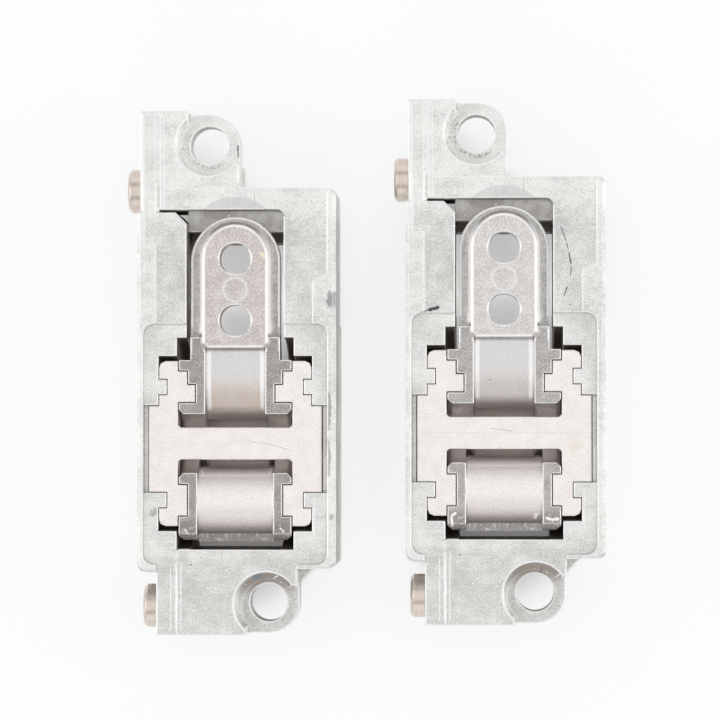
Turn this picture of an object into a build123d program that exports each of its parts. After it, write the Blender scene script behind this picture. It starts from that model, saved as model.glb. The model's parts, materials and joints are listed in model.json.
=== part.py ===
# A pair of two-stage hinges for the fold-out stand of a tablet computer, lying on their backs.
# In each hinge an arm turns in an H-shaped interlink, and the interlink turns in a cast bracket.
# Both turn about one line without a pin: half-round stepped rails run in stepped grooves.
#
# Each hinge is modelled about its own turning line, which runs along X through the hinge's
# origin. The plane z = 0 is the flush face, +Z looks out of the tablet, +Y points along the arm.
# Radii are measured from the turning line, and "half" sizes from the middle plane x = 0.
import os
from math import acos, atan2, cos, degrees, radians, sin, sqrt

from build123d import *

# The pair: the right hinge's turning line, seen from the left one's
PAIR_SPACING = 17.15
PAIR_STAGGER = 0.68

# Clearances
RUN_GAP = 0.05          # between faces that slide on each other
RIM_GAP = 0.33          # round the interlink's rim, in the brackets
SWING_GAP = 0.6         # round the arm's heel, in the brackets
SWING_SIDE_GAP = 0.1    # beside the arm's rotor, in the brackets
HUB_GAP = 0.85          # between the interlink's hub and the arm's feet
TIP_GAP = 0.45          # between the arm's tip and the window's top edge
ARM_SIDE_GAP = 0.25     # beside the arm, in the window
REST_GAP = 0.06         # between the closed arm and the ledge under its tip
SEAM_GAP = 0.2          # between the side bracket's plate and the top cross-piece
THREAD_GAP = 0.02       # round a clamp screw in its tapped hole
CLEAR_HOLE_GAP = 0.1    # round a clamp screw in the side bracket

# Turning, in degrees
INTERLINK_TRAVEL = 80
ARM_TRAVEL = 85
STOP_MARGIN = 1         # what the built-in stops leave past the travel
OUTER_STOP_ARC = 25     # arc of the brackets' stop blocks
INNER_STOP_ARC = 30     # arc of the interlink's stop teeth

# Interlink, radially outwards from the turning line
HUB_RADIUS = 1.03
FOOT_ROOM = 1.59        # from the hub to the inner rails
INNER_RAIL_WIDTH = 2.0
STOP_TOOTH_WIDTH = 1.14
RIM_LIP = 0.65          # what the rim stands past the inner rails
RIM_WIDTH = 1.15
GROOVE_WIDTH = 1.02
RELIEF_DEPTH = 0.7      # of the discs, for the brackets' stop blocks
# Interlink, outwards from the middle plane
OPENING_HALF = 3.65
INNER_RAIL_REACH = 0.59
STOP_TOOTH_REACH = 0.5
LINK_WALL = 0.7         # between the openings and the outer grooves
RIM_REACH = 0.53
DISC_REACH = 1.2
HUB_CORNER = 0.18       # cut corner of the section
RIM_CORNER = 0.42       # eased corner of the section
EDGE = 0.06             # broken edges of the flush face

# Arm rotor
TOOTH_HEIGHT = 0.65     # past the inner rails, on the arm's side
HEEL_HEIGHT = 1.5       # past the inner rails, on the far side
HEEL_SLOPE = 0.42       # broken end of the heel, at the flush face
FOOT_CUT = 0.28         # cut corners of the feet and the heel
DRUM_LIP = 0.2          # what the lip past the drum stands past the heel
LIP_DROP = 1.0          # of the lip under the flush face
TROUGH_HALF = 1.93      # half-width of the trough between the flanges
DRUM_HALF = 2.43        # half-width of the rounded drum at the heel
CHANNEL_HALF = 1.55     # half-width of the channel that the hub lies in
CHANNEL_DROP = 2.65     # of the channel's round floor, at its centre, under the flush face
DRUM_RADIUS = 3.0
DRUM_LENGTH = 4.15      # along the arm
DRUM_DROP = 0.05        # of the drum's crown under the flush face
NECK_DROP = 0.35        # of the trough's floor under the flush face
NECK_RADIUS = 3.4       # where the trough's floor bends down to the hub
NECK_BEND = 46          # degrees that it bends before the channel
# Arm plate and pad
ARM_HALF = 2.87
LOWER_HOLE_Y = 7.85
HOLE_SPACING = 3.95
ARM_HOLE_RADIUS = 1.0
ARM_END_DROP = 0.17     # from the upper hole down to the centre of the round end
FLANGE_LENGTH = 1.48    # of the flush flanges, past the rotor's teeth
BAND_DROP = 0.3         # of the band round the pad under the flush face
PLATE_THICKNESS = 0.8
PLATE_SPLAY = 0.8       # how much deeper the plate gets at the rotor
PAD_HALF = 2.05
PAD_FLARE = 0.27        # of the pad's sides, from top to foot
PAD_RISE = 0.15         # over the flush face
PAD_END_RISE = 0.1      # from the upper hole up to the centre of the pad's round end
PAD_LOW_EDGE = 0.65     # from the end of the flanges down to the pad's lower edge
PAD_CORNER = 0.45
MARK_RADIUS = 0.8       # bare ring recess between the holes
MARK_WIDTH = 0.1
MARK_DEPTH = 0.04

# Brackets: walls and levels
LEFT_SKIN = 0.42        # of the left wall, beside the ledge
RIGHT_SKIN = 0.6
CRADLE_FLOOR = 0.8      # under the rim pocket
BOTTOM_WALL = 1.2       # of the bottom cross-piece
TOP_WALL = 1.35         # of the top cross-piece
CRADLE_TOP = 0.88       # from the swing clearance up to the end of the flush recess
DISC_LEDGE = 0.3        # width of the ledge beside the interlink's discs
DISC_LEDGE_DROP = 0.25
PLATE_RISE = 0.25       # of the upper plates over the flush face
LEVEL_STEP = 0.06       # between the borders, the plates and the top cross-piece
RECESS_MARGIN = 0.05    # from the ledge to the flush recess's side
RECESS_CORNER = 0.75
RECESS_FOOT = 0.25      # width of the rim that closes the recess at the bottom
UPPER_DEPTH = 5.0       # of the brackets above the cradle
WINDOW_HALF = 2.9       # of the opening through the cradle's back
WINDOW_CORNER = 0.45
LEDGE_WIDTH = 1.35      # of the ledge under the arm's tip
DEEP_LEDGE_WIDTH = 0.65
DEEP_LEDGE_DEPTH = 3.6
CRESCENT_RADIUS = 2.9   # shallow round relief over the window
CRESCENT_RISE = 0.8
CRESCENT_DEPTH = 0.05
# Brackets: outline
OUTER_CORNER = 0.5
INNER_CORNER = 0.5
FOOT_CORNER = 0.6
LEFT_FOOT = 0.25        # how far the left block reaches past the bottom cross-piece
LEFT_SLANT = 0.2        # height of the slant from the upper strip out to the left wall
UPPER_STRIP = 1.17      # thickness of the side bracket's upper strip
LOWER_STRIP = 1.28
UPPER_SEAM = 4.9        # from the middle plane to the upper seam
SEAM_WIDTH = 0.2        # of the broken edge on each side of a seam
SEAM_DEPTH = 0.1
PLATE_CHAMFER = 0.7     # of the side bracket's plate, at the window's top
LEFT_BORDER = 1.2       # width of the raised border along the left wall
STRIP_BORDER = 0.3      # the same along the upper strip
LEFT_BORDER_END = 1.9   # from the plate's top edge down to where the left border narrows
RIGHT_BORDER = 1.5      # the same along the right wall, beside the arm
BORDER_BEND = 3.2       # from the flush recess up to where the right border narrows
CROSS_STEP = 1.8        # from the window's top edge down to the step beside it
CAST_EDGE = 0.2         # broken outer edge of the castings

# Lugs
LUG_RADIUS = 1.97
LUG_HOLE_RADIUS = 1.22
LUG_THICKNESS = 1.8
SPOT_RADIUS = 2.05      # of the spot-faces for the screw heads
UPPER_LUG_X = -1.76
UPPER_LUG_RISE = 2.85   # from the shoulder up to the upper lug's hole
UPPER_LUG_DROP = 1.0    # of the upper spot-face under the flush face
UPPER_SLOPE = 0.25      # at the foot of the spot-face's wall
UPPER_BLOCK_RISE = 0.15
LOWER_LUG_X = 1.97
LOWER_LUG_REACH = 2.28  # from the bottom edge down to the lower lug's hole
LOWER_LUG_DROP = 2.6
LOWER_SLOPE = 0.27
LOWER_LEAN = 0.27       # how much further the slope reaches on the inner side
BLOCK_END = 1.33        # from a lug's hole to the end of the block beside it
BLOCK_CUSP = 1.2        # from a lug's hole to the tip of the block beside it
GUSSET = 1.05           # along the bottom edge, beside the lower lug

# Clamp screws
SCREW_RADIUS = 0.78
SCREW_LENGTH = 4.2
SCREW_TIP = 0.25
SCREW_END_GAP = 0.25    # past the screw, in its tapped hole
HEAD_RADIUS = 1.4
HEAD_HEIGHT = 0.97
HEAD_EDGE = 0.18        # cut corner of the head
SOCKET_RADIUS = 0.62    # over the corners of the hexagon socket
SOCKET_DEPTH = 0.5
UPPER_SCREW_RISE = 1.55  # from the side bracket's plate up to the upper screw
LOWER_SCREW_RISE = 1.77  # from the castings' lower end up to the lower screw
SCREW_DROP = 2.4        # of the screws' axes under the flush face

# Radii that follow, from the turning line outwards
rail_in = HUB_RADIUS + FOOT_ROOM
rail_stop = rail_in + STOP_TOOTH_WIDTH
rail_out = rail_in + INNER_RAIL_WIDTH
rim_radius = rail_out + RIM_LIP
groove_out = rim_radius - RIM_WIDTH
disc_radius = groove_out - GROOVE_WIDTH
relief_radius = disc_radius - RELIEF_DEPTH
foot_in = HUB_RADIUS + HUB_GAP
foot_out = rail_in - RUN_GAP
tooth_in = rail_out + RUN_GAP
tooth_radius = tooth_in + TOOTH_HEIGHT
heel_radius = tooth_in + HEEL_HEIGHT
lip_radius = heel_radius + DRUM_LIP
pocket_radius = rim_radius + RIM_GAP
swing_radius = heel_radius + SWING_GAP
# Half-widths that follow
rail_half = OPENING_HALF - INNER_RAIL_REACH
stop_half = rail_half - STOP_TOOTH_REACH
groove_half = OPENING_HALF + LINK_WALL
rim_half = groove_half + RIM_REACH
disc_half = groove_half + DISC_REACH
disc_pocket_half = disc_half + RUN_GAP
ledge_half = disc_half + DISC_LEDGE
recess_half = ledge_half + RECESS_MARGIN
swing_half = OPENING_HALF + SWING_SIDE_GAP
arm_window_half = ARM_HALF + ARM_SIDE_GAP
foot_half = OPENING_HALF - RUN_GAP
neck_half = rail_half - RUN_GAP
deep_half = stop_half - RUN_GAP
# Places that follow
left_edge = -(ledge_half + LEFT_SKIN)
right_edge = ledge_half + RIGHT_SKIN
strip_left = -(UPPER_SEAM + UPPER_STRIP)
lower_seam = swing_half
foot_left = -(lower_seam + LOWER_STRIP)
back = -(pocket_radius + CRADLE_FLOOR)
bottom_edge = -(swing_radius + BOTTOM_WALL)
block_foot = bottom_edge - LEFT_FOOT
recess_top = swing_radius + CRADLE_TOP
recess_foot = bottom_edge + RECESS_FOOT
upper_hole_y = LOWER_HOLE_Y + HOLE_SPACING
flange_end = tooth_radius + FLANGE_LENGTH
pad_low = flange_end - PAD_LOW_EDGE
arm_tip = upper_hole_y - ARM_END_DROP + ARM_HALF
window_top = arm_tip + TIP_GAP
ledge_start = window_top - LEDGE_WIDTH
deep_ledge_start = ledge_start - DEEP_LEDGE_WIDTH
shoulder = window_top + TOP_WALL
plate_top = window_top - SEAM_GAP
plate_under = -BAND_DROP - PLATE_THICKNESS
ledge_level = plate_under - REST_GAP
border_level = PLATE_RISE + LEVEL_STEP
cross_level = PLATE_RISE - LEVEL_STEP
upper_lug = (UPPER_LUG_X, shoulder + UPPER_LUG_RISE)
lower_lug = (LOWER_LUG_X, bottom_edge - LOWER_LUG_REACH)
upper_lug_right = UPPER_LUG_X + LUG_RADIUS
upper_lug_top = upper_lug[1] + LUG_RADIUS
block_top = upper_lug_top + UPPER_BLOCK_RISE
lower_lug_right = LOWER_LUG_X + LUG_RADIUS
foot_end = lower_lug[1] - LUG_RADIUS
lower_depth = LOWER_LUG_DROP + LUG_THICKNESS
right_plate = right_edge - RIGHT_SKIN
upper_screw_y = plate_top + UPPER_SCREW_RISE
lower_screw_y = foot_end + LOWER_SCREW_RISE
FAR = 40                # reaches past every face of a hinge
EVERYWHERE = (-FAR, FAR)
TURNING_LINE = Axis((0, 0, 0), (-1, 0, 0))


def block(x, y, z):
    """A box between pairs of limits along X, Y and Z."""
    limits = (x, y, z)
    centre = [(low + high) / 2 for low, high in limits]
    return Pos(*centre) * Box(*[high - low for low, high in limits])


def prism(outline, bottom, top):
    """A plan outline, raised between two levels."""
    return Pos(0, 0, bottom) * extrude(outline, top - bottom)


def side_prism(outline, half):
    """An outline of (y, z) points, drawn out to both sides of the middle plane."""
    return extrude(Plane.YZ * outline, half, both=True)


def polygon(points, corners=0):
    """A face round a list of points, or a table of points with the radius of each corner."""
    radii = list(points.values()) if isinstance(points, dict) else corners
    return make_face(FilletPolyline(*points, radius=radii, close=True))


def arc_solid(profile, start, sweep):
    """Turn a face of (x, radius) points about the turning line, from the +Y side downwards."""
    return Rot(X=-start) * revolve(profile, TURNING_LINE, sweep)


def both_sides(solid):
    """A solid and its mirror image in the middle plane."""
    return solid + mirror(solid, Plane.YZ)


def mirrored(points):
    """A list of profile points, carried on to its mirror image in the middle plane."""
    return points + [(-x, radius) for x, radius in reversed(points)]


def eased_corner(x, radius, size):
    """Profile points round an outer corner, which is taken off in two cuts."""
    middle = size * (1 - sqrt(0.5))
    return [(x, radius - size), (x - middle, radius - middle), (x - size, radius)]


def arc_bar(half, radius, start, sweep):
    """A round-backed bar across the middle plane."""
    return arc_solid(polygon([(-half, 0), (half, 0), (half, radius), (-half, radius)]), start, sweep)


def arc_keys(low, high, inner, outer, sweep):
    """Two arc-shaped keys, one each side, which start at the flush face."""
    profile = polygon([(low, inner), (high, inner), (high, outer), (low, outer)])
    return both_sides(arc_solid(profile, 0, sweep))


def upward_edges(solid, level):
    """The outer edges of the flat faces that look up at a level."""
    faces = [f for f in solid.faces().filter_by(Axis.Z) if abs(f.center().Z - level) < 1e-4]
    return [e for f in faces for e in f.edges() if not e.is_interior]


def make_interlink():
    """Two half-round stepped discs on a hub bar, with grooves outside and rails inside."""
    profile = mirrored([
        (disc_half, 0),
        (disc_half, disc_radius),
        (groove_half, disc_radius),
        (groove_half, groove_out),
        (rim_half, groove_out),
        *eased_corner(rim_half, rim_radius, RIM_CORNER),
        (OPENING_HALF, rim_radius),
        (OPENING_HALF, rail_out),
        (rail_half, rail_out),
        (rail_half, rail_in),
        (OPENING_HALF, rail_in),
        (OPENING_HALF, HUB_RADIUS + HUB_CORNER),
        (OPENING_HALF - HUB_CORNER, HUB_RADIUS),
    ])
    link = arc_solid(polygon(profile), 0, 180)
    link += arc_keys(stop_half, rail_half, rail_in, rail_stop, INNER_STOP_ARC)
    relief_arc = OUTER_STOP_ARC + INTERLINK_TRAVEL + STOP_MARGIN
    link -= arc_keys(rim_half, disc_half + RUN_GAP, relief_radius, disc_radius + RUN_GAP, relief_arc)
    return chamfer(upward_edges(link, 0), EDGE)


def rotor_hollow():
    """What is open above the rotor's middle: the trough, the hub's channel, the drum and its lip."""
    bend = radians(NECK_BEND)
    neck_start = CHANNEL_HALF + NECK_RADIUS * sin(bend)
    neck_end = -NECK_DROP - NECK_RADIUS * (1 - cos(bend))
    drum_middle = -(CHANNEL_HALF + DRUM_LENGTH / 2)
    drum_angle = degrees(acos(DRUM_LENGTH / 2 / DRUM_RADIUS))
    drum_centre = -(DRUM_DROP + DRUM_RADIUS)
    drum = CenterArc((drum_middle, drum_centre), DRUM_RADIUS, drum_angle, 180 - 2 * drum_angle)
    drum_end = -(CHANNEL_HALF + DRUM_LENGTH)
    lines = [
        Polyline((pad_low, FAR), (pad_low, -NECK_DROP), (neck_start, -NECK_DROP)),
        CenterArc((neck_start, -NECK_DROP - NECK_RADIUS), NECK_RADIUS, 90, NECK_BEND),
        Line((CHANNEL_HALF, neck_end), (CHANNEL_HALF, -CHANNEL_DROP)),
        CenterArc((0, -CHANNEL_DROP), CHANNEL_HALF, 0, -180),
        Line((-CHANNEL_HALF, -CHANNEL_DROP), drum @ 0),
        drum,
        Polyline(drum @ 1, (drum_end, -LIP_DROP), (-FAR, -LIP_DROP), (-FAR, FAR), (pad_low, FAR)),
    ]
    return make_face(lines)


def make_rotor_flanges():
    """The stepped flanges that run in the interlink's inner rails, and their stop."""
    stop_arc = INNER_STOP_ARC + ARM_TRAVEL + STOP_MARGIN
    arm_side = polygon([
        (TROUGH_HALF, foot_in),
        (foot_half - FOOT_CUT, foot_in),
        (foot_half, foot_in + FOOT_CUT),
        (foot_half, foot_out),
        (deep_half, foot_out),
        (deep_half, rail_stop + RUN_GAP),
        (neck_half, rail_stop + RUN_GAP),
        (neck_half, tooth_in),
        (foot_half, tooth_in),
        (foot_half, tooth_radius),
        (TROUGH_HALF, tooth_radius),
    ])
    heel_side = polygon([
        (DRUM_HALF, foot_in),
        (foot_half - FOOT_CUT, foot_in),
        (foot_half, foot_in + FOOT_CUT),
        (foot_half, foot_out),
        (neck_half, foot_out),
        (neck_half, tooth_in),
        (foot_half, tooth_in),
        (foot_half, heel_radius - FOOT_CUT),
        (foot_half - FOOT_CUT, heel_radius),
        (DRUM_HALF, heel_radius),
    ])
    heel_arc = 180 - stop_arc
    flanges = both_sides(arc_solid(arm_side, 0, stop_arc) + arc_solid(heel_side, stop_arc, heel_arc))
    slope_start = HEEL_SLOPE - heel_radius
    slope_end = -(HEEL_SLOPE + heel_radius)
    slope = polygon([(slope_start, 0), (slope_end, slope_end - slope_start), (slope_end, 0)])
    flanges -= side_prism(slope, foot_half)
    web = arc_bar(deep_half, tooth_radius, 0, stop_arc)
    web += arc_bar(DRUM_HALF, lip_radius, stop_arc, heel_arc)
    return flanges + (web - side_prism(rotor_hollow(), neck_half))


def make_neck():
    """The neck between the rotor and the plate, with the trough open in its top."""
    root = rail_stop + RUN_GAP
    sweep_end = flange_end + BAND_DROP
    lines = [
        Line((root, 0), (flange_end, 0)),
        CenterArc((sweep_end, 0), BAND_DROP, 180, 90),
        Polyline(
            (sweep_end, -BAND_DROP),
            (sweep_end, plate_under),
            (root, plate_under - PLATE_SPLAY),
            (root, 0),
        ),
    ]
    return side_prism(make_face(lines), ARM_HALF) - side_prism(rotor_hollow(), TROUGH_HALF)


def make_pad():
    """The raised pad: a round upper end, flared sides and cut lower corners."""
    half = PAD_HALF + PAD_FLARE
    low = pad_low - PAD_FLARE
    centre = upper_hole_y + PAD_END_RISE
    corner = low + PAD_CORNER
    lines = [
        Polyline(
            (-half, centre),
            (-half, corner),
            (PAD_CORNER - half, low),
            (half - PAD_CORNER, low),
            (half, corner),
            (half, centre),
        ),
        CenterArc((0, centre), half, 0, 180),
    ]
    height = BAND_DROP + PAD_RISE
    flare = degrees(atan2(PAD_FLARE, height))
    return Pos(0, 0, -BAND_DROP) * extrude(make_face(lines), height, taper=flare)


def make_arm():
    """Rotor, neck, plate and pad in one piece, with two screw holes through the pad."""
    end_centre = upper_hole_y - ARM_END_DROP
    plan = Pos(0, (flange_end + end_centre) / 2) * Rectangle(2 * ARM_HALF, end_centre - flange_end)
    plan += Pos(0, end_centre) * Circle(ARM_HALF)
    plate = prism(plan, plate_under, -BAND_DROP)
    arm = make_rotor_flanges() + make_neck() + plate + make_pad()
    for y in (LOWER_HOLE_Y, upper_hole_y):
        arm -= Pos(0, y) * Cylinder(ARM_HOLE_RADIUS, FAR)
    ring = Circle(MARK_RADIUS) - Circle(MARK_RADIUS - MARK_WIDTH)
    arm -= Pos(0, (LOWER_HOLE_Y + upper_hole_y) / 2) * prism(ring, PAD_RISE - MARK_DEPTH, PAD_RISE)
    return arm


def bracket_outline():
    """Plan of both brackets together, with their lugs."""
    return polygon({
        (foot_left, foot_end): 0,
        (lower_lug_right, foot_end): LUG_RADIUS,
        (lower_lug_right, lower_lug[1] + BLOCK_CUSP): 0,
        (lower_lug_right + GUSSET, bottom_edge): 0,
        (right_edge, bottom_edge): OUTER_CORNER,
        (right_edge, shoulder): OUTER_CORNER,
        (upper_lug_right, shoulder): INNER_CORNER,
        (upper_lug_right, upper_lug_top): LUG_RADIUS,
        (UPPER_LUG_X - BLOCK_END, upper_lug_top): 0,
        (UPPER_LUG_X - BLOCK_END, block_top): 0,
        (strip_left, block_top): 0,
        (strip_left, plate_top + LEFT_SLANT): 0,
        (left_edge, plate_top): 0,
        (left_edge, block_foot): FOOT_CORNER,
        (foot_left, block_foot): 0,
    })


def spot_face(lug, drop, slope, lean):
    """The round pocket over a lug, with a slope at the foot of its wall that leans on one side."""
    floor = Pos(0, lean, -drop) * Circle(SPOT_RADIUS - slope)
    foot = Pos(0, 0, slope - drop) * Circle(SPOT_RADIUS)
    wall = prism(Circle(SPOT_RADIUS), slope - drop, FAR)
    return Pos(*lug) * (loft([floor, foot]) + wall)


def past_block(lug, upward):
    """Plan of what lies past the block beside a lug, from one tip of the block to the other."""
    x, y = lug
    end_y = y + upward * sqrt(SPOT_RADIUS**2 - BLOCK_END**2)
    cusp_x = x + sqrt(SPOT_RADIUS**2 - BLOCK_CUSP**2)
    cusp_y = y - upward * BLOCK_CUSP
    return polygon([
        lug,
        (x - BLOCK_END, end_y),
        (x - BLOCK_END, upward * FAR),
        (FAR, upward * FAR),
        (FAR, cusp_y),
        (cusp_x, cusp_y),
    ])


def bracket_levels():
    """What is cut away above the brackets: the flush recess, the plates and the lugs."""
    recess = RectangleRounded(2 * recess_half, recess_top - recess_foot, RECESS_CORNER)
    cuts = prism(Pos(0, (recess_top + recess_foot) / 2) * recess, 0, FAR)
    cuts += block((foot_left, lower_lug_right), (-FAR, recess_foot + RECESS_CORNER), (0, FAR))
    bend = recess_top + BORDER_BEND
    slant = RIGHT_BORDER - RIGHT_SKIN
    plates = polygon([
        (left_edge + LEFT_BORDER, -FAR),
        (right_edge - RIGHT_BORDER, -FAR),
        (right_edge - RIGHT_BORDER, bend - slant / 2),
        (right_plate, bend),
        (right_plate, FAR),
        (strip_left + STRIP_BORDER, FAR),
        (strip_left + STRIP_BORDER, plate_top - LEFT_BORDER_END),
        (left_edge + LEFT_BORDER, plate_top - LEFT_BORDER_END),
    ])
    cuts += prism(plates, PLATE_RISE, FAR)
    cuts += block((-UPPER_SEAM, right_plate), (plate_top, FAR), (cross_level, FAR))
    cuts += block((arm_window_half, right_plate), (window_top - CROSS_STEP, FAR), (cross_level, FAR))
    crescent = Pos(0, window_top + CRESCENT_RISE - CRESCENT_RADIUS) * Circle(CRESCENT_RADIUS)
    cuts += prism(crescent, cross_level - CRESCENT_DEPTH, FAR)
    cuts += spot_face(upper_lug, UPPER_LUG_DROP, UPPER_SLOPE, 0)
    cuts += prism(past_block(upper_lug, 1), -UPPER_LUG_DROP, FAR)
    cuts += spot_face(lower_lug, LOWER_LUG_DROP, LOWER_SLOPE, -LOWER_LEAN)
    cuts += prism(past_block(lower_lug, -1), -LOWER_LUG_DROP, FAR)
    cuts += block((lower_lug_right, FAR), (-FAR, bottom_edge), (-LOWER_LUG_DROP, FAR))
    return cuts


def bracket_unders():
    """What is cut away under the brackets, and the lugs' holes."""
    cuts = block(EVERYWHERE, (recess_top, FAR), (-FAR, -UPPER_DEPTH))
    cuts += block(EVERYWHERE, (-FAR, block_foot), (-FAR, -lower_depth))
    under_lug = past_block(upper_lug, 1) + Pos(*upper_lug) * Circle(SPOT_RADIUS)
    cuts += prism(under_lug, -FAR, -(UPPER_LUG_DROP + LUG_THICKNESS))
    for x, y in (upper_lug, lower_lug):
        cuts += Pos(x, y) * Cylinder(LUG_HOLE_RADIUS, FAR)
    return cuts


def bracket_cradle():
    """The pocket that the interlink turns in, with the brackets' arc rails and stop blocks left."""
    profile = mirrored([
        (disc_pocket_half, 0),
        (disc_pocket_half, disc_radius + RUN_GAP),
        (groove_half + RUN_GAP, disc_radius + RUN_GAP),
        (groove_half + RUN_GAP, groove_out - RUN_GAP),
        (rim_half + RUN_GAP, groove_out - RUN_GAP),
        (rim_half + RUN_GAP, pocket_radius),
    ])
    pocket = arc_solid(polygon(profile), 0, 180)
    stop_inner = relief_radius + RUN_GAP
    stop_outer = disc_radius + RUN_GAP
    pocket -= arc_keys(rim_half + RUN_GAP, disc_pocket_half, stop_inner, stop_outer, OUTER_STOP_ARC)
    ledge = block((disc_half, ledge_half), (-stop_outer, stop_inner), (-DISC_LEDGE_DROP, FAR))
    return pocket + both_sides(ledge) + arc_bar(swing_half, swing_radius, 0, 180)


def bracket_window():
    """The opening for the arm, right through but for two ledges at its top."""
    sides = (-arm_window_half, arm_window_half)
    cuts = block((-WINDOW_HALF, WINDOW_HALF), (-swing_radius, 0), EVERYWHERE)
    cuts += block(sides, (0, deep_ledge_start), EVERYWHERE)
    cuts += block(sides, (deep_ledge_start, ledge_start), (-DEEP_LEDGE_DEPTH, FAR))
    top = polygon({
        (-arm_window_half, ledge_start): 0,
        (arm_window_half, ledge_start): 0,
        (arm_window_half, window_top): WINDOW_CORNER,
        (-arm_window_half, window_top): 0,
    })
    cuts += prism(top, ledge_level, FAR)
    cuts += block((-UPPER_SEAM, -arm_window_half), (plate_top, window_top), EVERYWHERE)
    corner = [
        (-arm_window_half, plate_top),
        (-arm_window_half - PLATE_CHAMFER, plate_top),
        (-arm_window_half, plate_top - PLATE_CHAMFER),
    ]
    return cuts + prism(polygon(corner), -FAR, FAR)


def seam_groove(x, level, start, end):
    """The two broken edges of a seam along Y."""
    groove = polygon([
        (x - SEAM_WIDTH, level),
        (x, level - SEAM_DEPTH),
        (x + SEAM_WIDTH, level),
        (x + SEAM_WIDTH, FAR),
        (x - SEAM_WIDTH, FAR),
    ])
    return Pos(0, end) * extrude(Plane.XZ * groove, end - start)


def make_brackets():
    """The castings: one blank, cut and then parted along the seams."""
    blank = prism(bracket_outline(), back, border_level)
    blank = chamfer(upward_edges(blank, border_level), CAST_EDGE)
    blank -= bracket_levels()
    blank -= bracket_unders()
    blank -= bracket_cradle()
    blank -= bracket_window()
    blank -= seam_groove(-UPPER_SEAM, cross_level, plate_top, block_top)
    blank -= seam_groove(-lower_seam, 0, foot_end, -swing_radius)
    side_plan = polygon([
        (-FAR, FAR),
        (-UPPER_SEAM, FAR),
        (-UPPER_SEAM, plate_top),
        (-arm_window_half, plate_top),
        (-arm_window_half, deep_ledge_start),
        (0, deep_ledge_start),
        (0, -swing_radius),
        (-lower_seam, -swing_radius),
        (-lower_seam, -FAR),
        (-FAR, -FAR),
    ])
    side_room = prism(side_plan, -FAR, FAR)
    side = blank & side_room
    main = blank - side_room
    for seat, y in ((strip_left, upper_screw_y), (foot_left, lower_screw_y)):
        axis = Pos(seat, y, -SCREW_DROP) * Rot(Y=90)
        side -= axis * Cylinder(SCREW_RADIUS + CLEAR_HOLE_GAP, FAR)
        hole = Cylinder(SCREW_RADIUS + THREAD_GAP, 2 * (SCREW_LENGTH + SCREW_END_GAP))
        main -= axis * hole
    return main, side


def make_screw():
    """A clamp screw along X, with its seat at the origin and a hexagon socket in its head."""
    profile = polygon([
        (-HEAD_HEIGHT, 0),
        (SCREW_LENGTH, 0),
        (SCREW_LENGTH, SCREW_RADIUS - SCREW_TIP),
        (SCREW_LENGTH - SCREW_TIP, SCREW_RADIUS),
        (0, SCREW_RADIUS),
        (0, HEAD_RADIUS),
        (HEAD_EDGE - HEAD_HEIGHT, HEAD_RADIUS),
        (-HEAD_HEIGHT, HEAD_RADIUS - HEAD_EDGE),
    ])
    screw = revolve(profile, TURNING_LINE, 360)
    socket = extrude(Plane.YZ * RegularPolygon(SOCKET_RADIUS, 6), SOCKET_DEPTH)
    return screw - Pos(-HEAD_HEIGHT) * socket


def make_hinge():
    """All pieces of one hinge, by name."""
    main, side = make_brackets()
    screw = make_screw()
    return {
        "main_bracket": main,
        "side_bracket": side,
        "interlink": make_interlink(),
        "arm": make_arm(),
        "upper_clamp_screw": Pos(strip_left, upper_screw_y, -SCREW_DROP) * screw,
        "lower_clamp_screw": Pos(foot_left, lower_screw_y, -SCREW_DROP) * screw,
    }


# The hinges stand side by side, with the origin under the middle of the pair's box.
hinge = make_hinge()
box = Compound(list(hinge.values())).bounding_box()
middle = box.center()
places = {"left": -0.5, "right": 0.5}
os.makedirs("parts", exist_ok=True)
for side_name, share in places.items():
    x = share * PAIR_SPACING - middle.X
    y = share * PAIR_STAGGER - middle.Y
    place = Pos(x, y, -box.min.Z)
    print(f"{side_name} turning line through ({x:.5f}, {y:.5f}, {-box.min.Z:.5f})")
    for name, solid in hinge.items():
        export_step(place * solid, f"parts/{side_name}_{name}.step")
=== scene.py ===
import json
from math import pi

import bpy
from mathutils import Matrix, Vector

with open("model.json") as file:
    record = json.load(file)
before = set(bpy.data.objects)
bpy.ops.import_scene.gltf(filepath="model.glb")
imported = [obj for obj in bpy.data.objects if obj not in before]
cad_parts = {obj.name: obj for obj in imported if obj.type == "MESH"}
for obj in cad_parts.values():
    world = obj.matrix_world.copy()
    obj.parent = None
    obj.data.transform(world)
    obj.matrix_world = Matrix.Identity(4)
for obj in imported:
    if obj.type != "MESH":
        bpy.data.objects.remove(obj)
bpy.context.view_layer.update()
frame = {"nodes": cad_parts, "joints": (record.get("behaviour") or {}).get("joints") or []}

MM = 0.001
SIDES = ("left", "right")

# Camera, in millimetres from the middle of the pair: it stands over the right hinge.
# The view's middle and width are taken at the height of the flush faces.
VIEW_CENTRE = (-0.30, 0.455)
VIEW_WIDTH = 45.86
CAMERA_OVER = (8.87, -4.0)
CAMERA_HEIGHT = 190
SENSOR = 36

# Studio: lamps as (place, size, radiance), in millimetres from the middle of the pair
LAMPS = {
    "overhead": ((0, 0, 420), (420, 420), 0.45),
    "left_box": ((-330, 0, 150), (260, 300), 1.1),
    "right_box": ((330, 0, 150), (260, 300), 1.1),
    "front_box": ((0, -330, 150), (300, 260), 0.55),
    "back_box": ((0, 330, 150), (300, 260), 0.55),
}
AMBIENT = 0.6
FLOOR_SIZE = 4000
# Share of the floor's own white, deep in the hinges' openings and out in the open, so that less is left
# where the hinges close the floor in, as a painted shadow; how near a piece closes the floor in; and the
# shares of open air that count as closed in and as open
FLOOR_GLOW = (0.15, 0.78)
FLOOR_REACH = 6
FLOOR_OPENNESS = (0.15, 0.45)
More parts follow.
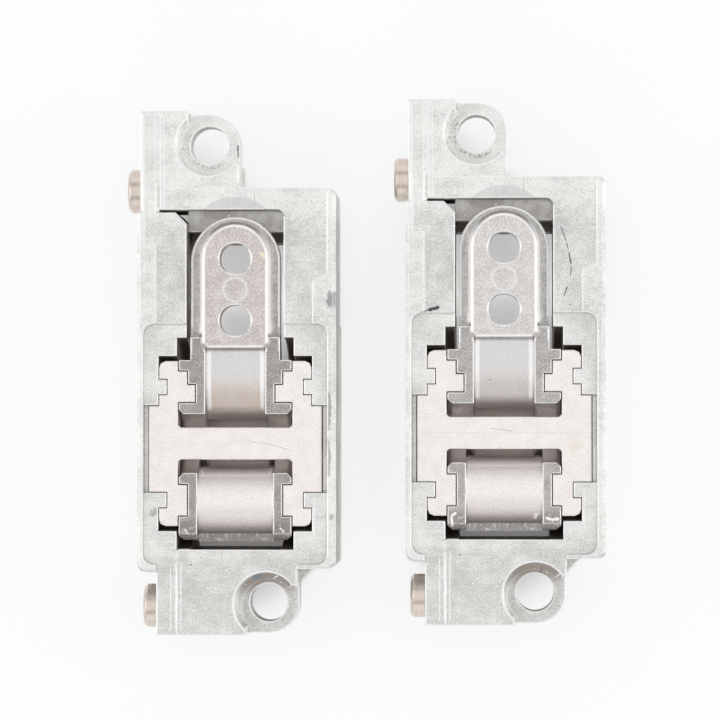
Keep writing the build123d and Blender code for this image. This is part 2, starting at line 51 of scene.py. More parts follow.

# Wear marks, with some painted highlights and glints, by hinge: (line seen from above, width, colour,
# strength, lowest level)
WHITE = (1.0, 1.0, 0.99)
# Grease, painted as white glints
GREASE_GLINT = (1.0, 0.99, 0.97)
SCRATCH = (0.06, 0.06, 0.06)
BLACK = (0.05, 0.05, 0.05)
FINE_LINE = (0.55, 0.50, 0.48)
FAINT_LINE = (0.80, 0.74, 0.71)
CASTING_WEAR = {
    "left": [
        ([(6.2, 9.0), (6.25, 9.4)], 0.75, (0.36, 0.37, 0.38), 0.85, -0.3),
        ([(0.1, 19.1), (0.12, 18.4)], 0.16, (0.08, 0.08, 0.08), 0.9, -1.3),
        ([(1.1, -8.64), (1.35, -8.54)], 0.34, (0.20, 0.33, 0.44), 0.6, -2.7),
        ([(2.3, -8.68), (2.52, -8.56)], 0.12, (1.0, 1.0, 1.0), 0.9, -2.7),
        ([(-3.52, -9.75), (-3.48, -9.75)], 0.14, (0.15, 0.15, 0.14), 0.7, -0.1),
        ([(-5.3, -4.5), (-5.1, -4.3)], 0.45, (0.38, 0.38, 0.37), 0.6, -0.1),
        ([(6.15, -4.8), (6.22, -4.6)], 0.25, (0.36, 0.36, 0.36), 0.7, -0.1),
        ([(6.0, 3.2), (6.08, 2.2), (5.95, 0.9)], 0.22, (0.34, 0.33, 0.31), 0.7, -0.3),
        ([(5.9, 0.3), (6.05, -0.8), (5.95, -2.0)], 0.24, (0.40, 0.39, 0.37), 0.7, -0.3),
    ],
    "right": [
        ([(3.6, 13.1), (3.85, 12.45), (4.06, 11.7)], 0.07, SCRATCH, 0.75, -0.1),
        ([(4.12, 11.45), (4.24, 10.75)], 0.1, SCRATCH, 0.85, -0.1),
        ([(4.25, 10.5), (4.22, 9.95)], 0.07, SCRATCH, 0.8, -0.1),
        ([(4.0, 9.25), (3.81, 8.75)], 0.09, SCRATCH, 0.85, -0.1),
        ([(-5.2, 7.68), (-4.65, 7.86)], 0.11, BLACK, 0.9, -0.1),
        ([(-4.7, 7.86), (-4.2, 7.98)], 0.24, BLACK, 0.9, -0.1),
        ([(2.3, -9.0), (2.42, -8.62)], 0.07, BLACK, 0.9, -2.7),
    ],
}
# Lines that both hinges have, along the seams, the borders and the tool's parting lines: the white ones
# are painted highlights on their edges, the grey ones dark lines
SEAM_LINES_AND_HIGHLIGHTS = [
    ([(-4.1, -11.9), (-4.12, -8.0)], 0.09, WHITE, 0.8, -0.1),
    ([(-3.8, -11.9), (-3.82, -7.6)], 0.12, WHITE, 0.4, -0.1),
    ([(-3.47, -11.9), (-3.45, -7.6)], 0.09, WHITE, 0.8, -0.1),
    ([(5.08, -3.5), (5.08, -6.0)], 0.08, WHITE, 0.7, -0.1),
    ([(-5.9, -6.3), (-3.9, -6.3)], 0.07, WHITE, 0.5, -0.1),
    ([(-4.5, 16.3), (0.1, 16.26)], 0.07, WHITE, 0.6, -0.1),
    ([(-4.93, 15.1), (-4.93, 21.0)], 0.08, (0.42, 0.42, 0.40), 0.7, 0.0),
    ([(-4.78, 15.1), (-4.78, 21.0)], 0.1, WHITE, 0.85, 0.0),
    ([(-4.55, 15.1), (-4.56, 21.0)], 0.09, WHITE, 0.7, 0.0),
    ([(-5.77, 21.0), (-5.77, 12.85), (-5.07, 12.8), (-5.05, 7.8)], 0.09, WHITE, 0.75, 0.1),
    ([(5.9, 16.1), (5.9, 10.9), (4.97, 10.45), (4.97, 7.8)], 0.09, WHITE, 0.75, 0.1),
    ([(3.3, 13.15), (5.85, 13.15)], 0.05, (0.42, 0.42, 0.41), 0.7, 0.0),
    ([(1.25, 15.2), (1.24, 16.2)], 0.05, (0.40, 0.40, 0.39), 0.6, -0.1),
]
INTERLINK_WEAR = {
    "left": [
        ([(0.9, 0.15), (2.2, -0.05), (3.6, -0.45)], 0.05, FINE_LINE, 0.7, -0.1),
        ([(-5.3, 0.05), (1.0, 0.02)], 0.05, FAINT_LINE, 0.6, -0.1),
    ],
    "right": [
        ([(-0.8, 0.28), (-0.2, 0.22), (0.5, 0.1)], 0.06, FINE_LINE, 0.7, -0.1),
        ([(-5.3, 0.02), (5.3, 0.02)], 0.05, FAINT_LINE, 0.6, -0.1),
        ([(4.35, -0.95), (4.65, -0.85)], 0.5, (0.80, 0.72, 0.55), 0.4, -0.1),
    ],
}
# Marks on the arm, and grease painted as white glints
ARM_MARKS_AND_GLINTS = {
    "left": [
        ([(1.72, 12.1), (1.86, 11.9)], 0.22, (0.95, 0.86, 0.60), 0.8, -0.6),
        ([(-2.2, -1.75), (-2.1, -1.9)], 0.16, GREASE_GLINT, 0.9, -3.0),
        ([(2.2, -1.7), (2.15, -1.9)], 0.16, GREASE_GLINT, 0.9, -3.0),
        ([(-3.2, -5.5), (-3.0, -5.75)], 0.14, GREASE_GLINT, 0.7, -1.0),
        ([(2.9, -5.4), (3.1, -5.6)], 0.14, GREASE_GLINT, 0.7, -1.0),
    ],
    "right": [
        ([(2.7, -5.4), (3.0, -5.5), (3.4, -5.45)], 0.2, GREASE_GLINT, 0.9, -0.4),
        ([(-3.3, -5.9), (-3.35, -5.3), (-3.1, -5.1)], 0.2, GREASE_GLINT, 0.9, -0.4),
        ([(1.95, -5.4), (2.05, -5.2)], 0.22, (1.0, 0.96, 0.86), 0.9, -1.0),
        ([(-3.3, 1.55), (-3.0, 1.4), (-2.8, 1.5)], 0.3, GREASE_GLINT, 0.6, -3.0),
        ([(2.1, 1.6), (2.25, 1.4)], 0.2, GREASE_GLINT, 0.7, -3.0),
        ([(-0.9, 3.4), (-0.86, 3.4)], 0.1, (0.12, 0.12, 0.12), 0.8, -0.6),
    ],
}

# Places on a hinge that its finishes follow
UPPER_LUG = (-1.76, 19.15)
LOWER_LUG = (1.97, -10.25)
SEAT_FLOOR = (1.6, 0.9)     # radius and width of a screw seat's floor, round the hole
SEAT_DIRT = (1.38, 0.36)    # the same for the dirt close to the hole
SEAT_RIM = (2.1, 0.13)      # and for the painted highlight on the seat's upper rim
UPPER_PARTS = 16.5          # the lugs and their blocks lie past these two places along y
LOWER_PARTS = -8.0
FOOT_START = -7.3
WINDOW_TOP = 14.95
POCKET_HALF = 5.95          # half-width of the window and the cradle
CRADLE_END = -6.8
SMEAR_CENTRE = (0, 12.85, 0)
SMEAR_RADIUS = 2.875
PLATE_START = 7.0           # where the arm's flanges end and its plate begins
PLATE_END = 11.63           # centre of the plate's round end
PLATE_RIM = 2.73            # half-width inside the plate's bright rim
PAD_LEVEL = 0.1             # only the pad's top is above it
PAD_START = 6.05
PAD_END = 11.9              # centre of the pad's round end
PAD_LINE = 1.92             # half-width inside the pad's bright outline
ARM_HOLES = (7.85, 11.8)
HOLE_BURR = (1.06, 0.14)    # radius and width
MARK_MIDDLE = 9.825
MARK_RING = (0.75, 0.12)    # radius and width
TROUGH_HALF = 1.94
TROUGH_END = 5.95
DRUM_EXTRA = 0.5            # how much further out the drum reaches than the trough
DRUM_MIDDLE = -3.66
DRUM_END = -5.7
CORNER_REACH = 0.3          # how near another face makes an inner corner

# Colours of the metals, with painted shade for corners and recesses and painted highlights for edges
ZINC = ((0.525, 0.527, 0.51), (0.955, 0.955, 0.935))
# Painted shade for the recesses in the window and the cradle
ZINC_SUNK_SHADE = (0.33, 0.30, 0.28)
ZINC_DEEP_SHADE = (0.14, 0.11, 0.095)
ZINC_POCKET_SHADE = (0.24, 0.18, 0.155)
ZINC_CORNER_SHADE = (0.24, 0.235, 0.22)
ZINC_SPECK = (0.30, 0.30, 0.28)
SEAT_SHADE = (0.34, 0.28, 0.24)
SEAT_GRIME = (0.30, 0.30, 0.26)
ARM_SMEAR = (0.48, 0.49, 0.48)
PALE_STEEL = ((0.80, 0.74, 0.715), (1.0, 0.955, 0.93))
PALE_CORNER_SHADE = (0.35, 0.32, 0.30)
TROUGH_STEEL = ((0.66, 0.65, 0.655), (0.82, 0.81, 0.82))
TROUGH_STAIN = (0.69, 0.58, 0.50)
HUB_STEEL = (0.82, 0.76, 0.74)
HUB_SIDE = (0.85, 0.80, 0.78)
DRUM_STEEL = ((0.86, 0.80, 0.785), (1.0, 0.95, 0.935))
DRUM_END_SHADE = ((0.36, 0.32, 0.30), (0.52, 0.46, 0.44))
LIP_AND_HEEL_DARK = (0.15, 0.13, 0.12)
GREY_CORNER_SHADE = (0.22, 0.20, 0.19)
SCREW_STEEL = ((0.55, 0.47, 0.42), (0.84, 0.75, 0.68))
SCREW_CORNER_SHADE = (0.16, 0.14, 0.13)
SCREW_EDGE_HIGHLIGHT = (0.98, 0.95, 0.92)
BRIGHT_EDGE = (1.0, 0.985, 0.97)

# By hinge: how strong the grime and the trough's stain are, the arm's tint, and the darkest and
# palest share of that tint on the arm's flanges, band and pad
UPPER_GRIME = {"left": 0.3, "right": 0.5}
TROUGH_SMEAR = {"left": 0.75, "right": 0.35}
ARM_TINT = {"left": (1.0, 0.92, 0.88), "right": (1.0, 0.965, 0.945)}
ARM_TONES = {
    "left": ((0.29, 0.54), (0.36, 0.60), (0.54, 0.80)),
    "right": ((0.35, 0.63), (0.37, 0.60), (0.60, 0.83)),
}

origin = {}
for joint in frame["joints"]:
    origin[joint["name"].split("_")[0]] = Vector(joint["pos_m"])
flush_height = origin["left"].z


class Finish:
    """One material for one hinge, built from nodes that work in the hinge's own millimetres."""

    def __init__(self, name, side):
        self.material = bpy.data.materials.new(f"{name}_{side}")
        self.material.use_nodes = True
        self.nodes = self.material.node_tree.nodes
        self.links = self.material.node_tree.links
        self.shader = self.nodes["Principled BSDF"]
        coords = self.nodes.new("ShaderNodeTexCoord").outputs["Object"]
        metres = self.vector("SUBTRACT", coords, origin[side])
        self.place = self.vector("SCALE", metres, scale=1 / MM)
        self.flat = self.vector("MULTIPLY", self.place, (1, 1, 0))
        split = self.node("ShaderNodeSeparateXYZ", Vector=self.place)
        self.x, self.y, self.z = split.outputs

    def feed(self, socket, value):
        """Set an input, or link it to another node's output."""
        if isinstance(value, bpy.types.NodeSocket):
            self.links.new(value, socket)
        else:
            socket.default_value = value

    def node(self, kind, settings=None, **inputs):
        made = self.nodes.new(kind)
        for key, value in (settings or {}).items():
            setattr(made, key, value)
        for key, value in inputs.items():
            self.feed(made.inputs[key], value)
        return made

    def vector(self, operation, a, b=None, scale=None):
        made = self.node("ShaderNodeVectorMath", {"operation": operation})
        self.feed(made.inputs[0], a)
        if b is not None:
            self.feed(made.inputs[1], b)
        if scale is not None:
            self.feed(made.inputs["Scale"], scale)
        return made.outputs["Value" if operation in ("LENGTH", "DOT_PRODUCT") else "Vector"]

    def math(self, operation, a, b=0.0, clamp=False):
        made = self.node("ShaderNodeMath", {"operation": operation, "use_clamp": clamp})
        self.feed(made.inputs[0], a)
        self.feed(made.inputs[1], b)
        return made.outputs[0]

    def times(self, *factors):
        product = factors[0]
        for factor in factors[1:]:
            product = self.math("MULTIPLY", product, factor)
        return product

    def blend(self, *parts):
        """A weighted sum of (value, weight) pairs."""
        total = 0.0
        for value, weight in parts:
            total = self.math("ADD", self.times(value, weight), total)
        return total

    def step(self, value, low, high):
        """0 below the low limit, 1 over the high one, smooth between them; or falling, if swapped."""
        made = self.node("ShaderNodeMapRange", {"interpolation_type": "SMOOTHSTEP"})
        self.feed(made.inputs["Value"], value)
        self.feed(made.inputs["From Min"], low)
        self.feed(made.inputs["From Max"], high)
        return made.outputs["Result"]

    def above(self, value, limit, blur):
        """1 where a value is over a limit, with a soft border of a width."""
        return self.step(value, limit - blur / 2, limit + blur / 2)

    def below(self, value, limit, blur):
        return self.step(value, limit + blur / 2, limit - blur / 2)

    def most(self, *values):
        largest = values[0]
        for value in values[1:]:
            largest = self.math("MAXIMUM", largest, value)
        return largest

    def scaled(self, value, low, high):
        """A 0 to 1 value, spread between two others."""
        made = self.node("ShaderNodeMapRange")
        self.feed(made.inputs["Value"], value)
        self.feed(made.inputs["To Min"], low)
        self.feed(made.inputs["To Max"], high)
        return made.outputs["Result"]

    def noise(self, size, detail=2.0, stretch=(1, 1, 1)):
        """Noise with patches of about a size, 0 to 1."""
        place = self.vector("MULTIPLY", self.place, stretch)
        made = self.node("ShaderNodeTexNoise", Vector=place, Scale=1 / size, Detail=detail)
        return made.outputs["Fac"]

    def specks(self, spacing, radius):
        """Scattered round specks of very uneven size, 1 in a speck."""
        cells = self.node("ShaderNodeTexVoronoi", Vector=self.place, Scale=1 / spacing)
        chance = self.node("ShaderNodeSeparateColor", Color=cells.outputs["Color"]).outputs[0]
        reach = self.times(self.math("POWER", chance, 6), radius / spacing)
        return self.math("GREATER_THAN", reach, cells.outputs["Distance"])

    def stroke(self, points, width):
        """1 along a line through points, seen from above, with ragged edges."""
        nearest = 1e3
        for start, end in zip(points, points[1:]):
            along = Vector((*end, 0)) - Vector((*start, 0))
            offset = self.vector("SUBTRACT", self.flat, (*start, 0))
            share = self.vector("DOT_PRODUCT", offset, along / along.length_squared)
            share = self.math("ADD", share, 0.0, clamp=True)
            foot = self.vector("SCALE", along, scale=share)
            gap = self.vector("LENGTH", self.vector("SUBTRACT", offset, foot))
            nearest = self.math("MINIMUM", gap, nearest)
        ragged = self.blend((nearest, 1.0), (self.noise(0.2, 2), width), (1.0, -width / 2))
        return self.step(ragged, width * 0.55, width * 0.3)

    def ring(self, centre, radius, width):
        """1 on a ring seen from above."""
        gap = self.vector("LENGTH", self.vector("SUBTRACT", self.flat, (*centre, 0)))
        off = self.math("ABSOLUTE", self.math("SUBTRACT", gap, radius))
        return self.below(off, width / 2, width / 5)

    def half_width(self, end):
        """How far out a point is on a bar along y that has a round end about a place."""
        past = self.math("MAXIMUM", self.math("SUBTRACT", self.y, end), 0.0)
        offset = self.node("ShaderNodeCombineXYZ", X=self.x, Y=past).outputs["Vector"]
        return self.vector("LENGTH", offset)

    def mix(self, factor, a, b):
        """Colour a, or b where the factor is 1."""
        made = self.node("ShaderNodeMix", {"data_type": "RGBA"})
        colours = [s for s in made.inputs if s.type == "RGBA"]
        self.feed(made.inputs["Factor"], factor)
        for socket, value in zip(colours, (a, b)):
            self.feed(socket, (*value, 1) if isinstance(value, tuple) else value)
        return next(s for s in made.outputs if s.type == "RGBA")

    def marks_and_highlights(self, colour, marks):
        """A colour with a table of wear marks, painted highlights and painted glints over it."""
        for points, width, tint, strength, lowest in marks:
            above = self.step(self.z, lowest - 0.05, lowest)
            colour = self.mix(self.times(self.stroke(points, width), above, strength), colour, tint)
        return colour

    def edges(self, radius):
        """1 along outer edges, 1 in inner corners, and the normal rounded over both."""
        bevel = self.node("ShaderNodeBevel", {"samples": 8}, Radius=self.times(radius, MM))
        rounded = bevel.outputs["Normal"]
        facing = self.nodes.new("ShaderNodeNewGeometry").outputs["Normal"]
        turned = self.step(self.vector("DOT_PRODUCT", rounded, facing), 0.995, 0.9)
        own_faces = {"samples": 8, "only_local": True}
        near = self.node("ShaderNodeAmbientOcclusion", own_faces, Distance=CORNER_REACH * MM)
        open_air = near.outputs["AO"]
        outer = self.times(turned, self.step(open_air, 0.7, 0.9))
        return outer, self.step(open_air, 0.75, 0.3), rounded

    def lifted(self, normal, share):
        """A normal, turned by a share towards the piece's own upward side."""
        settings = {"vector_type": "NORMAL", "convert_from": "OBJECT", "convert_to": "WORLD"}
        upward = self.node("ShaderNodeVectorTransform", settings, Vector=(0, 0, 1)).outputs["Vector"]
        part = self.vector("SCALE", self.vector("SUBTRACT", upward, normal), scale=share)
        return self.vector("NORMALIZE", self.vector("ADD", normal, part))

    def surface(self, colour, roughness, height, depth, normal):
        """Finish the metal: colour, roughness, and a relief of a depth in millimetres."""
        bump = self.node("ShaderNodeBump", Height=height, Normal=normal, Distance=depth * MM)
        self.feed(self.shader.inputs["Base Color"], colour)
        self.feed(self.shader.inputs["Roughness"], roughness)
        self.feed(self.shader.inputs["Normal"], bump.outputs["Normal"])
        self.shader.inputs["Metallic"].default_value = 1.0
        return self.material


def bare_zinc(f, grain, fine):
    """Grain, clouds and faint brushing, a little paler on the upper parts and the higher faces."""
    brushed = f.noise(0.3, 2, (0.2, 1, 1))
    clouds = f.blend((f.noise(2.2, 1), 0.2), (f.noise(0.5, 2), 0.12), (brushed, 0.08))
    upper = f.above(f.y, WINDOW_TOP - 0.55, 1.6)
    raised = f.above(f.z, 0.285, 0.03)
    level = f.times(f.below(f.z, 0.075, 0.05), f.above(f.z, -0.075, 0.05))
    flush = f.times(level, f.above(f.y, FOOT_START, 0.2))
    paler = f.blend((upper, 0.07), (raised, 0.06), (flush, 0.03))
    tone = f.blend((clouds, 1.0), (grain, 0.3), (fine, 0.3), (paler, 1.0))
    return f.mix(f.step(tone, 0.35, 0.65), *ZINC)


def painted_shade_inside(f, colour):
    """Painted shade: zinc gets darker down in the window and the cradle, darkest deep down, mottled."""
    across = f.math("ABSOLUTE", f.x)
    along = f.times(f.below(f.y, WINDOW_TOP + 0.05, 0.1), f.above(f.y, CRADLE_END, 0.1))
    inside = f.times(along, f.below(across, POCKET_HALF, 0.1))
    mottle = f.scaled(f.step(f.noise(0.9, 3), 0.35, 0.65), 0.4, 0.75)
    sunk = f.times(inside, f.below(f.z, -0.675, 0.65), mottle)
    deep = f.times(inside, f.below(f.z, -2.0, 1.2))
    pocket = f.times(inside, f.below(f.y, 9.0, 1.0), f.below(f.z, -0.55, 0.5))
    colour = f.mix(sunk, colour, ZINC_SUNK_SHADE)
    colour = f.mix(f.times(deep, 0.8), colour, ZINC_DEEP_SHADE)
    return f.mix(f.times(pocket, 0.6), colour, ZINC_POCKET_SHADE)


def shaded_and_soiled_seats(f, colour, side):
    """Painted shade in the lower lug's screw seat, dirt in the upper one, and painted highlights on the
    seats' upper rims.
    """
    sunk = f.below(f.z, -0.35, 0.3)
    # Painted shade on the lower seat's floor, under its tall wall
    brown = f.times(f.ring(LOWER_LUG, *SEAT_FLOOR), f.above(f.y, -9.45, 1.1), f.below(f.x, 3.65, 0.3))
    colour = f.mix(f.times(sunk, brown, 0.75), colour, SEAT_SHADE)
    spots = f.step(f.noise(0.09, 3), 0.4, 0.65)
    grime = f.times(f.ring(UPPER_LUG, *SEAT_FLOOR), f.below(f.x, -1.9, 1.8), spots)
    near_hole = f.times(f.ring(UPPER_LUG, *SEAT_DIRT), f.step(f.noise(0.16, 3), 0.45, 0.6), 1.4)
    dirt = f.times(near_hole, f.below(f.math("ADD", f.x, f.y), 17.1, 1.0))
    colour = f.mix(f.times(sunk, f.most(grime, dirt), UPPER_GRIME[side]), colour, SEAT_GRIME)
    # Painted highlights on the seats' upper rims
    for lug in (LOWER_LUG, UPPER_LUG):
        rim = f.times(f.ring(lug, *SEAT_RIM), f.above(f.z, -0.15, 0.1))
        colour = f.mix(f.times(rim, 0.75), colour, WHITE)
    return colour


def smeared_top(f, colour):
    """The smear that the arm leaves over the window."""
    gap = f.vector("LENGTH", f.vector("SUBTRACT", f.flat, SMEAR_CENTRE))
    top_face = f.times(f.above(f.y, WINDOW_TOP, 0.1), f.above(f.z, 0.05, 0.1))
    smear = f.times(top_face, f.below(gap, SMEAR_RADIUS, 0.15), 0.35)
    return f.mix(smear, colour, ARM_SMEAR)


def cast_zinc(side):
    f = Finish("cast_zinc", side)
    grain = f.noise(0.11, 2)
    fine = f.noise(0.05, 1)
    # Painted shade down in the window and the cradle
    colour = painted_shade_inside(f, bare_zinc(f, grain, fine))
    colour = smeared_top(f, colour)
    colour = shaded_and_soiled_seats(f, colour, side)
    colour = f.mix(f.times(f.specks(0.7, 0.09), 0.6), colour, ZINC_SPECK)
    colour = f.mix(f.times(f.specks(0.25, 0.07), 0.8), colour, WHITE)
    # Wear marks, and painted highlights along the seams and borders
    colour = f.marks_and_highlights(colour, CASTING_WEAR[side] + SEAM_LINES_AND_HIGHLIGHTS)
    at_lugs = f.most(f.above(f.y, UPPER_PARTS, 0.2), f.below(f.y, LOWER_PARTS, 0.2))
    outer, inner, rounded = f.edges(f.scaled(at_lugs, 0.18, 0.26))
    # Painted shade in the inner corners and painted highlights along the outer edges
    colour = f.mix(f.times(inner, 0.75), colour, ZINC_CORNER_SHADE)
    colour = f.mix(f.times(outer, 0.95), colour, WHITE)
    relief = f.blend((grain, 0.6), (fine, 0.4))
    roughness = f.math("SUBTRACT", f.scaled(grain, 0.42, 0.6), f.times(outer, 0.15))
    return f.surface(colour, roughness, relief, 0.014, f.lifted(rounded, f.scaled(at_lugs, 0.3, 0.5)))


def sintered_pale(side):
    f = Finish("sintered_pale", side)
    grain = f.noise(0.08, 2)
    tone = f.blend((grain, 0.75), (f.noise(0.9, 2), 0.25))
    colour = f.mix(f.step(tone, 0.30, 0.62), *PALE_STEEL)
    colour = f.marks_and_highlights(colour, INTERLINK_WEAR[side])
    outer, inner, rounded = f.edges(0.09)
    # Painted shade in the inner corners and painted highlights along the outer edges
    colour = f.mix(f.times(inner, 0.5), colour, PALE_CORNER_SHADE)
    colour = f.mix(f.times(outer, 0.6), colour, BRIGHT_EDGE)
    return f.surface(colour, f.scaled(grain, 0.4, 0.52), grain, 0.008, rounded)


def tinted(side, level):
    return tuple(level * share for share in ARM_TINT[side])


def arm_plate(f, side, grain, wall):
    """Flanges, band and pad, with painted highlights on the pad's wall, on the plate's rim and on the
    outline round the pad.
    """
    coarse = f.step(f.blend((grain, 0.75), (f.noise(0.7, 2), 0.25)), 0.36, 0.64)
    tones = [f.mix(coarse, tinted(side, low), tinted(side, high)) for low, high in ARM_TONES[side]]
    flange_tone, band_tone, pad_tone = tones
    on_pad = f.above(f.z, PAD_LEVEL, 0.04)
    colour = f.mix(f.above(f.y, PLATE_START, 0.4), flange_tone, band_tone)
    colour = f.mix(on_pad, colour, pad_tone)
    past_neck = f.times(f.above(f.y, PLATE_START + 0.45, 0.1), f.above(f.z, -0.345, 0.03))
    rim = f.times(past_neck, f.above(f.half_width(PLATE_END), PLATE_RIM, 0.06))
    low_edge = f.below(f.y, PAD_START + 0.205, 0.03)
    outline = f.most(f.above(f.half_width(PAD_END), PAD_LINE, 0.04), low_edge)
    outline = f.times(outline, on_pad, f.above(f.y, PAD_START, 0.1))
    # Painted highlights on the pad's wall, the plate's rim and the pad's outline
    return f.mix(f.most(f.times(wall, 0.5), rim, outline), colour, BRIGHT_EDGE)


def arm_trough(f, side, across, fine):
    """The smooth trough: stained low down, with painted highlights along its sides."""
    stain = f.times(f.below(f.y, 3.9, 1.4), f.above(f.y, 2.0, 0.4), f.step(f.noise(0.5, 3), 0.15, 0.5))
    strips = f.times(f.above(across, 1.575, 0.15), f.below(across, 1.815, 0.13))
    colour = f.mix(fine, *TROUGH_STEEL)
    colour = f.mix(f.times(stain, TROUGH_SMEAR[side]), colour, TROUGH_STAIN)
    # Painted highlights along the trough's sides
    colour = f.mix(strips, colour, BRIGHT_EDGE)
    return f.mix(f.below(f.y, 1.95, 0.5), colour, HUB_STEEL)


def arm_drum(f, fine):
    """The smooth drum, with painted shade on its ends, which curve away from the light."""
    off_middle = f.math("ABSOLUTE", f.math("SUBTRACT", f.y, DRUM_MIDDLE))
    end_shade = f.above(off_middle, 1.325, 1.15)
    return f.mix(f.times(end_shade, 0.9), f.mix(fine, *DRUM_STEEL), f.mix(fine, *DRUM_END_SHADE))


def darker_lip_and_heels(f, colour, side, across):
    """The lip and heels darker and mottled, and the bright faces beside the hub."""
    darker_mottle = f.mix(f.step(f.noise(0.25, 2), 0.55, 0.65), LIP_AND_HEEL_DARK, tinted(side, 0.7))
    lip = f.below(f.y, DRUM_END - 0.02, 0.04)
    heels = f.times(f.below(f.y, -5.0, 0.6), f.above(across, 2.5, 0.1))
    colour = f.mix(f.times(f.most(lip, heels), 0.4), colour, darker_mottle)
    beside_hub = f.times(f.below(f.z, -0.4, 0.2), f.below(f.math("ABSOLUTE", f.y), 2.15, 0.1))
    return f.mix(f.times(beside_hub, 0.8), colour, HUB_SIDE)


def pad_marks(f, colour):
    """Burrs round the holes, and the ring between them, on the pad's upper side."""
    on_top = f.above(f.z, -0.05, 0.1)
    burr = f.times(on_top, f.step(f.noise(0.12, 1), 0.5, 0.6), 0.8)
    for hole in ARM_HOLES:
        colour = f.mix(f.times(f.ring((0, hole), *HOLE_BURR), burr), colour, BRIGHT_EDGE)
    return f.mix(f.times(f.ring((0, MARK_MIDDLE), *MARK_RING), on_top, 0.8), colour, BRIGHT_EDGE)


def sintered_grey(side):
    f = Finish("sintered_grey", side)
    across = f.math("ABSOLUTE", f.x)
    grain = f.noise(0.09, 2)
    fine = f.step(grain, 0.3, 0.7)
    wall = f.times(f.above(f.z, -0.245, 0.05), f.below(f.z, PAD_LEVEL, 0.04), f.above(across, 1.55, 0.5))
    wall = f.times(wall, f.above(f.y, PLATE_START, 0.4))
    colour = arm_plate(f, side, grain, wall)

    behind = f.math("GREATER_THAN", 0.0, f.y)
    reach = f.math("SUBTRACT", across, f.times(behind, DRUM_EXTRA))
    along = f.times(f.below(f.y, TROUGH_END, 0.1), f.above(f.y, DRUM_END, 0.04))
    smooth = f.times(along, f.below(reach, TROUGH_HALF, 0.08))
    middle = f.mix(behind, arm_trough(f, side, across, fine), arm_drum(f, fine))
    colour = f.mix(smooth, colour, middle)
    colour = darker_lip_and_heels(f, colour, side, across)
    colour = f.marks_and_highlights(pad_marks(f, colour), ARM_MARKS_AND_GLINTS[side])

    broad = f.most(smooth, f.above(f.y, TROUGH_END - 0.1, 0.1))
    outer, inner, rounded = f.edges(f.scaled(broad, 0.17, 0.28))
    inner = f.times(inner, f.math("SUBTRACT", 1.0, wall))
    # Painted shade in the inner corners and painted highlights along the outer edges
    colour = f.mix(f.times(inner, 0.4), colour, GREY_CORNER_SHADE)
    colour = f.mix(f.times(outer, 0.95), colour, BRIGHT_EDGE)
    roughness = f.math("SUBTRACT", f.scaled(grain, 0.36, 0.5), f.times(outer, 0.15))
    return f.surface(colour, roughness, grain, 0.01, f.lifted(rounded, f.times(wall, 0.5)))


def screw_steel(side):
    f = Finish("screw_steel", side)
    turning = f.noise(0.08, 2, (1, 0.05, 0.05))
    colour = f.mix(turning, *SCREW_STEEL)
    outer, inner, rounded = f.edges(0.14)
    # Painted shade in the inner corners and painted highlights along the outer edges
    colour = f.mix(f.times(inner, 0.6), colour, SCREW_CORNER_SHADE)
    colour = f.mix(f.times(outer, 0.7), colour, SCREW_EDGE_HIGHLIGHT)
    return f.surface(colour, f.scaled(turning, 0.2, 0.35), turning, 0.002, rounded)


FINISHES = {
    "main_bracket": cast_zinc,
    "side_bracket": cast_zinc,
    "interlink": sintered_pale,
    "arm": sintered_grey,
    "upper_clamp_screw": screw_steel,
    "lower_clamp_screw": screw_steel,
}
for side in SIDES:
    made = {finish: finish(side) for finish in dict.fromkeys(FINISHES.values())}
    for name, finish in FINISHES.items():
        frame["nodes"][f"{side}_{name}"].data.materials[0] = made[finish]


def add_object(name, data):
    made = bpy.data.objects.new(name, data)
    bpy.context.scene.collection.objects.link(made)
    return made


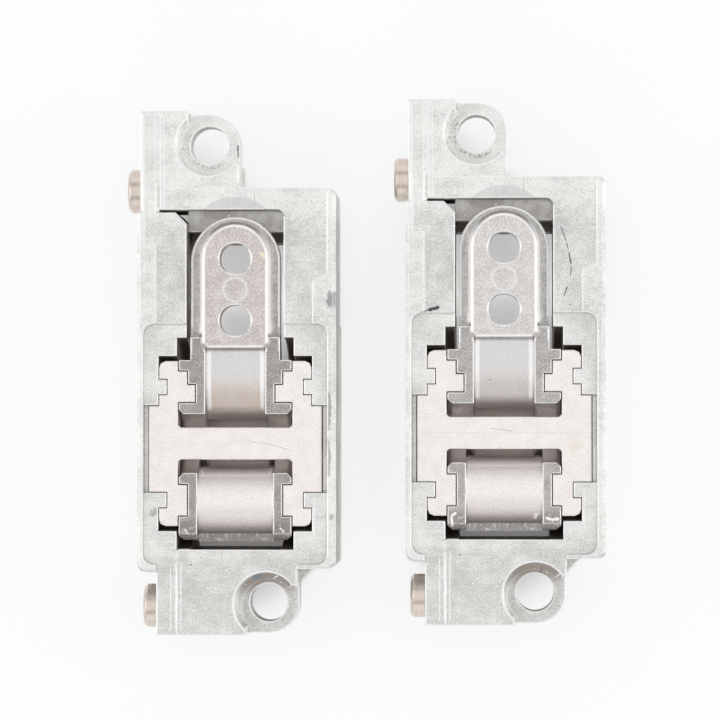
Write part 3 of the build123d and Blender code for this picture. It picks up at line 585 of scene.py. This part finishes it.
def floor_material():
    """A pale matt floor that looks white, also mirrored in the metal, and still takes shadows.

    Where the hinges close it in, less of its white is left, which paints a shadow there.
    """
    material = bpy.data.materials.new("floor")
    material.use_nodes = True
    nodes, links = material.node_tree.nodes, material.node_tree.links
    matt = nodes["Principled BSDF"]
    matt.inputs["Base Color"].default_value = (1, 1, 1, 1)
    matt.inputs["Roughness"].default_value = 0.9
    matt.inputs["Specular IOR Level"].default_value = 0.0
    glow = nodes.new("ShaderNodeEmission")
    path = nodes.new("ShaderNodeLightPath")
    seen = path.outputs["Is Camera Ray"]
    for ray in ("Is Glossy Ray", "Is Transmission Ray"):
        either = nodes.new("ShaderNodeMath")
        either.operation = "MAXIMUM"
        links.new(seen, either.inputs[0])
        links.new(path.outputs[ray], either.inputs[1])
        seen = either.outputs[0]
    # Painted shadow: less of the floor's white where the hinges close it in
    near = nodes.new("ShaderNodeAmbientOcclusion")
    near.samples = 16
    near.inputs["Distance"].default_value = FLOOR_REACH * MM
    level = nodes.new("ShaderNodeMapRange")
    level.interpolation_type = "SMOOTHSTEP"
    level.inputs["From Min"].default_value, level.inputs["From Max"].default_value = FLOOR_OPENNESS
    level.inputs["To Min"].default_value, level.inputs["To Max"].default_value = FLOOR_GLOW
    links.new(near.outputs["AO"], level.inputs["Value"])
    share = nodes.new("ShaderNodeMath")
    share.operation = "MULTIPLY"
    links.new(seen, share.inputs[0])
    links.new(level.outputs["Result"], share.inputs[1])
    both = nodes.new("ShaderNodeMixShader")
    links.new(share.outputs[0], both.inputs["Fac"])
    links.new(matt.outputs["BSDF"], both.inputs[1])
    links.new(glow.outputs["Emission"], both.inputs[2])
    links.new(both.outputs["Shader"], nodes["Material Output"].inputs["Surface"])
    return material


def add_floor():
    half = FLOOR_SIZE * MM / 2
    mesh = bpy.data.meshes.new("floor")
    corners = [(-half, -half, 0), (half, -half, 0), (half, half, 0), (-half, half, 0)]
    mesh.from_pydata(corners, [], [(0, 1, 2, 3)])
    mesh.materials.append(floor_material())
    add_object("floor", mesh)


def add_lamp(name, place, size, radiance):
    lamp = bpy.data.lights.new(name, "AREA")
    lamp.shape = "RECTANGLE"
    lamp.size, lamp.size_y = size[0] * MM, size[1] * MM
    lamp.energy = radiance * pi * lamp.size * lamp.size_y
    made = add_object(name, lamp)
    made.location = Vector(place) * MM
    made.rotation_mode = "QUATERNION"
    made.rotation_quaternion = (-made.location).to_track_quat("-Z", "Y")
    made.visible_camera = False


def add_camera():
    target = Vector((VIEW_CENTRE[0] * MM, VIEW_CENTRE[1] * MM, flush_height))
    place = Vector((CAMERA_OVER[0] * MM, CAMERA_OVER[1] * MM, flush_height + CAMERA_HEIGHT * MM))
    camera = bpy.data.cameras.new("camera")
    camera.sensor_width = SENSOR
    camera.lens = SENSOR * (place - target).length / (VIEW_WIDTH * MM)
    camera.clip_start = 0.01
    camera.clip_end = 10
    made = add_object("camera", camera)
    back = (place - target).normalized()
    right = Vector((0, 1, 0)).cross(back).normalized()
    up = back.cross(right)
    turn = Matrix((right, up, back)).transposed()
    made.matrix_world = Matrix.Translation(place) @ turn.to_4x4()
    bpy.context.scene.camera = made


world = bpy.data.worlds.new("studio")
world.use_nodes = True
world.node_tree.nodes["Background"].inputs["Color"].default_value = (1, 1, 1, 1)
world.node_tree.nodes["Background"].inputs["Strength"].default_value = AMBIENT
bpy.context.scene.world = world
bpy.context.scene.view_settings.view_transform = "Standard"
add_floor()
for lamp_name, lamp_settings in LAMPS.items():
    add_lamp(lamp_name, *lamp_settings)
add_camera()
